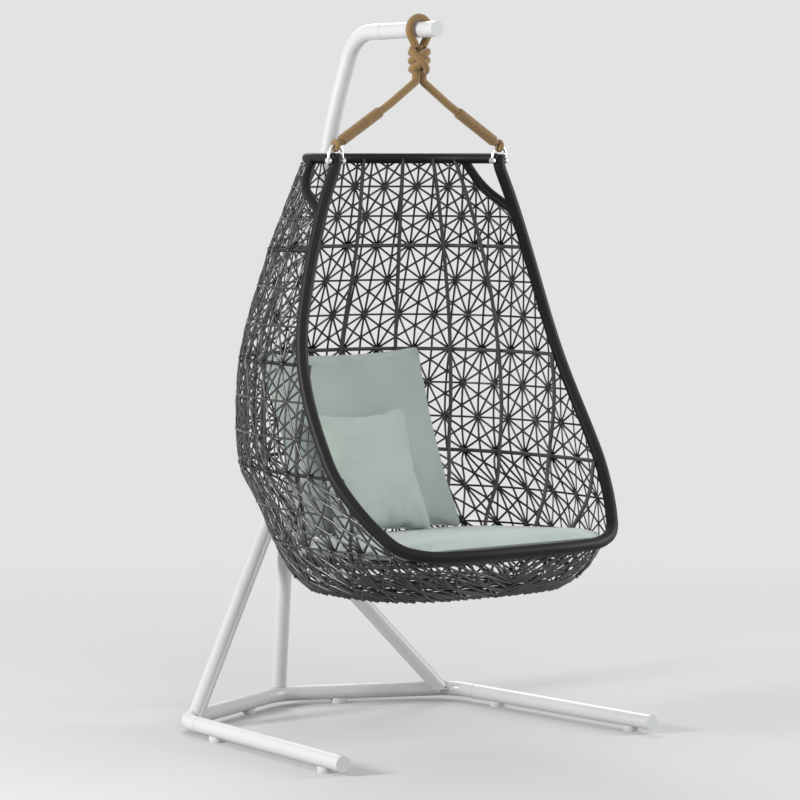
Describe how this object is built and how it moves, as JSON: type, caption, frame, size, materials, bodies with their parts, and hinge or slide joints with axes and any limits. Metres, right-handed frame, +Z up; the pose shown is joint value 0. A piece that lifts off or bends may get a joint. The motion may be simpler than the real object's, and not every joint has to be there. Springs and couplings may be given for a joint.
{
  "type": "hanging egg chair",
  "caption": "Egg-shaped woven basket seat with loose cushions, hung by one knotted rope and shackles from a bent tube stand with a U-shaped floor frame.",
  "frame": {"origin": "on the floor, straight below the rope's hanging point", "axes": "+Z up, +X to the chair's right as seen from the front, -Y the way that the mouth faces"},
  "size_m": [1.2102, 1.2693, 2.1677],
  "materials": {
    "stand_paint": "satin",
    "cap_plastic": "satin",
    "foot_rubber": "matte",
    "rope": "matte",
    "rope_sleeve": "matte",
    "shackle_steel": "satin",
    "wrapped_rim": "satin",
    "wrapped_tube": "satin",
    "rib_plastic": "satin",
    "weave": "satin",
    "seat_weave": "satin",
    "cushion_cloth": "matte",
    "pillow_cloth": "matte"
  },
  "bodies": {
    "stand": {"arm_end_cap": "cap_plastic", "arm_spigot": "stand_paint", "left_brace": "stand_paint", "left_front_glide": "foot_rubber", "left_rear_glide": "foot_rubber", "left_runner": "stand_paint", "left_runner_cap": "cap_plastic", "left_side_glide": "foot_rubber", "mast": "stand_paint", "rear_floor_rail": "stand_paint", "right_brace": "stand_paint", "right_front_glide": "foot_rubber", "right_rear_glide": "foot_rubber", "right_runner": "stand_paint", "right_runner_cap": "cap_plastic", "right_side_glide": "foot_rubber", "top_arm": "stand_paint"},
    "loop": {"rope_loop": "rope"},
    "knot": {"rope_knot": "rope"},
    "sling": {"left_rope_leg": "rope", "left_rope_sleeve": "rope_sleeve", "left_shackle_bow": "shackle_steel", "left_shackle_pin": "shackle_steel", "right_rope_leg": "rope", "right_rope_sleeve": "rope_sleeve", "right_shackle_bow": "shackle_steel", "right_shackle_pin": "shackle_steel"},
    "basket": {"back_cushion": "cushion_cloth", "crown_weave": "weave", "front_rim": "wrapped_rim", "left_back_rib_1": "rib_plastic", "left_back_rib_2": "rib_plastic", "left_back_rib_3": "rib_plastic", "left_back_rib_4": "rib_plastic", "left_rim": "wrapped_rim", "left_side_rib_1": "rib_plastic", "left_side_rib_2": "rib_plastic", "left_top_brace": "wrapped_tube", "loose_pillow": "pillow_cloth", "lower_hoop": "rib_plastic", "lower_weave": "weave", "middle_hoop": "rib_plastic", "middle_weave": "weave", "pan_hoop": "rib_plastic", "pan_weave": "seat_weave", "right_back_rib_1": "rib_plastic", "right_back_rib_2": "rib_plastic", "right_back_rib_3": "rib_plastic", "right_back_rib_4": "rib_plastic", "right_rim": "wrapped_rim", "right_side_rib_1": "rib_plastic", "right_side_rib_2": "rib_plastic", "right_top_brace": "wrapped_tube", "seat_cushion": "cushion_cloth", "seat_hoop": "rib_plastic", "seat_weave": "seat_weave", "shoulder_hoop": "rib_plastic", "shoulder_weave": "weave", "top_ring": "wrapped_tube"}
  },
  "joints": [
    {"name": "side_sway", "type": "hinge", "parent": "stand", "child": "loop", "pos_m": [0, 0, 2.124], "axis": [0, 1, 0], "range_deg": [-8, 8]},
    {"name": "swing", "type": "hinge", "parent": "loop", "child": "knot", "pos_m": [0, 0, 2.124], "axis": [1, 0, 0], "range_deg": [-12, 0.8]},
    {"name": "twist", "type": "hinge", "parent": "knot", "child": "sling", "pos_m": [0, 0, 1.987], "axis": [0, 0, 1], "range_deg": [-30, 30]},
    {"name": "basket_tilt", "type": "hinge", "parent": "sling", "child": "basket", "pos_m": [0, 0.002, 1.735], "axis": [1, 0, 0], "range_deg": [-5, 1.5]}
  ]
}
